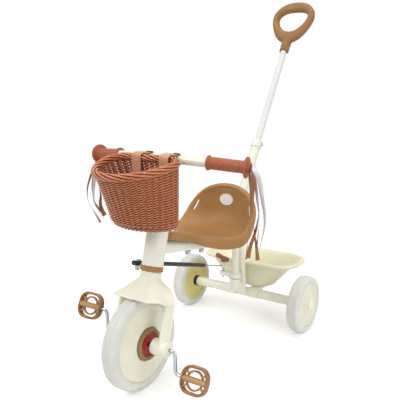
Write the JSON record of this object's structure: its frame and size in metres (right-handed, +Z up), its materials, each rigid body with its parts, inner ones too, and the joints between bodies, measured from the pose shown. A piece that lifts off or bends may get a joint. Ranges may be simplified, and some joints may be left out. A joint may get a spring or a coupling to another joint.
{
  "type": "toddler push-along trike",
  "caption": "Toddler trike with a pedalled steering front wheel, moulded seat, parent push handle that steers through a link, wicker basket and tipping rear bucket.",
  "frame": {"origin": "middle of the object's box, on the floor", "axes": "+X towards the rider's left, -Y towards the front, +Z up"},
  "size_m": [0.5398, 0.9777, 0.9895],
  "materials": {
    "cream_paint": "gloss powder coat",
    "cream_plastic": "smooth moulded plastic",
    "wheel_plastic": "smooth moulded plastic",
    "white_tyre": "white foam tyre, fine matt texture",
    "caramel_plastic": "fine textured plastic",
    "grip_rubber": "soft matt rubber",
    "wicker": "woven round cane, satin",
    "strap_leather": "grained leather",
    "tan_ribbon": "satin ribbon",
    "pale_ribbon": "silvery ribbon",
    "chrome": "polished",
    "steel": "zinc plated",
    "black_plastic": "satin black plastic",
    "red_plastic": "gloss moulded plastic",
    "knob_plastic": "satin plastic",
    "badge_plastic": "gloss plain plate",
    "cap_plastic": "smooth moulded plastic"
  },
  "bodies": {
    "frame": {"head_tube": "cream_paint", "head_bushes": "black_plastic", "main_tube": "cream_paint", "pole_bearing": "cream_paint", "down_tube": "cream_paint", "rear_bracket": "cream_paint", "axle_tube": "cream_paint", "rear_axle": "steel", "axle_bushes": "black_plastic", "axle_caps": "cap_plastic", "seat": "caramel_plastic", "seat_badge": "badge_plastic", "seat_bolts": "steel", "seat_spacers": "black_plastic"},
    "steering": {"fork": "cream_plastic", "axle_housings": "cream_plastic", "column_pin": "steel", "steering_column": "steel", "steering_collar": "caramel_plastic", "arm_bolt": "steel", "handlebar": "cream_paint", "bar_clamp": "cream_paint", "grip_left": "grip_rubber", "grip_right": "grip_rubber", "basket": "wicker", "strap_left": "strap_leather", "strap_right": "strap_leather", "tassel_left_tan": "tan_ribbon", "tassel_left_pale": "pale_ribbon", "tassel_right_tan": "tan_ribbon", "tassel_right_pale": "pale_ribbon"},
    "front_wheel": {"front_tyre": "white_tyre", "front_disc": "wheel_plastic", "hub_ring": "caramel_plastic", "crank": "chrome"},
    "clutch": {"clutch_disc": "red_plastic"},
    "left_pedal": {"pedal_left": "caramel_plastic"},
    "right_pedal": {"pedal_right": "caramel_plastic"},
    "left_rear_wheel": {"rear_tyre_left": "white_tyre", "rear_disc_left": "wheel_plastic"},
    "right_rear_wheel": {"rear_tyre_right": "white_tyre", "rear_disc_right": "wheel_plastic"},
    "pole": {"post": "cream_paint", "post_arm": "cream_paint", "pole_lower": "cream_paint", "pole_collar": "cream_plastic"},
    "button": {"pole_button": "chrome"},
    "upper_pole": {"pole_upper": "cream_paint", "push_handle": "caramel_plastic"},
    "link": {"link_sleeve": "black_plastic", "link_cap": "black_plastic", "link_rod": "steel"},
    "lock": {"lock_pin": "steel", "lock_knob": "knob_plastic"},
    "tipping_bucket": {"bucket": "cream_plastic", "bucket_clips": "cream_plastic"}
  },
  "joints": [
    {"name": "steer", "type": "hinge", "parent": "frame", "child": "steering", "pos_m": [0, -0.36895, 0.12], "axis": [0, 0.2924, 0.9563], "range_deg": [-35, 35]},
    {"name": "front_wheel_spin", "type": "hinge", "parent": "steering", "child": "front_wheel", "pos_m": [0, -0.36895, 0.12], "axis": [1, 0, 0], "continuous": true},
    {"name": "clutch_slide", "type": "slide", "parent": "front_wheel", "child": "clutch", "axis": [1, 0, 0], "range_m": [0, 0.006]},
    {"name": "pedal_left_spin", "type": "hinge", "parent": "front_wheel", "child": "left_pedal", "pos_m": [0.1615, -0.36895, 0.062], "axis": [1, 0, 0], "continuous": true},
    {"name": "pedal_right_spin", "type": "hinge", "parent": "front_wheel", "child": "right_pedal", "pos_m": [-0.1615, -0.36895, 0.178], "axis": [1, 0, 0], "continuous": true},
    {"name": "rear_left_spin", "type": "hinge", "parent": "frame", "child": "left_rear_wheel", "pos_m": [0.205, 0.14105, 0.085], "axis": [1, 0, 0], "continuous": true},
    {"name": "rear_right_spin", "type": "hinge", "parent": "frame", "child": "right_rear_wheel", "pos_m": [-0.205, 0.14105, 0.085], "axis": [1, 0, 0], "continuous": true},
    {"name": "pole_turn", "type": "hinge", "parent": "frame", "child": "pole", "pos_m": [0, 0.08604, 0.34497], "axis": [0, 0, 1], "range_deg": [-35.5, 35.5]},
    {"name": "button_press", "type": "slide", "parent": "pole", "child": "button", "axis": [-1, 0, 0], "range_m": [0, 0.002], "stiffness_N_per_m": 400},
    {"name": "pole_slide", "type": "slide", "parent": "pole", "child": "upper_pole", "axis": [0, 0.5255, 0.8508], "range_m": [-0.15, 0]},
    {"name": "link_swing", "type": "hinge", "parent": "steering", "child": "link", "pos_m": [-0.045, -0.31443, 0.29835], "axis": [0, 0.2924, 0.9563], "range_deg": [-35.5, 35.5]},
    {"name": "lock_pull", "type": "slide", "parent": "link", "child": "lock", "axis": [0, 0, 1], "range_m": [0, 0.024]},
    {"name": "bucket_tip", "type": "hinge", "parent": "frame", "child": "tipping_bucket", "pos_m": [0, 0.14105, 0.085], "axis": [-1, 0, 0], "range_deg": [0, 40]}
  ],
  "couplings": [
    {"joint": "pole_turn", "follows": "steer", "ratio": 1},
    {"joint": "link_swing", "follows": "steer", "ratio": -1}
  ]
}
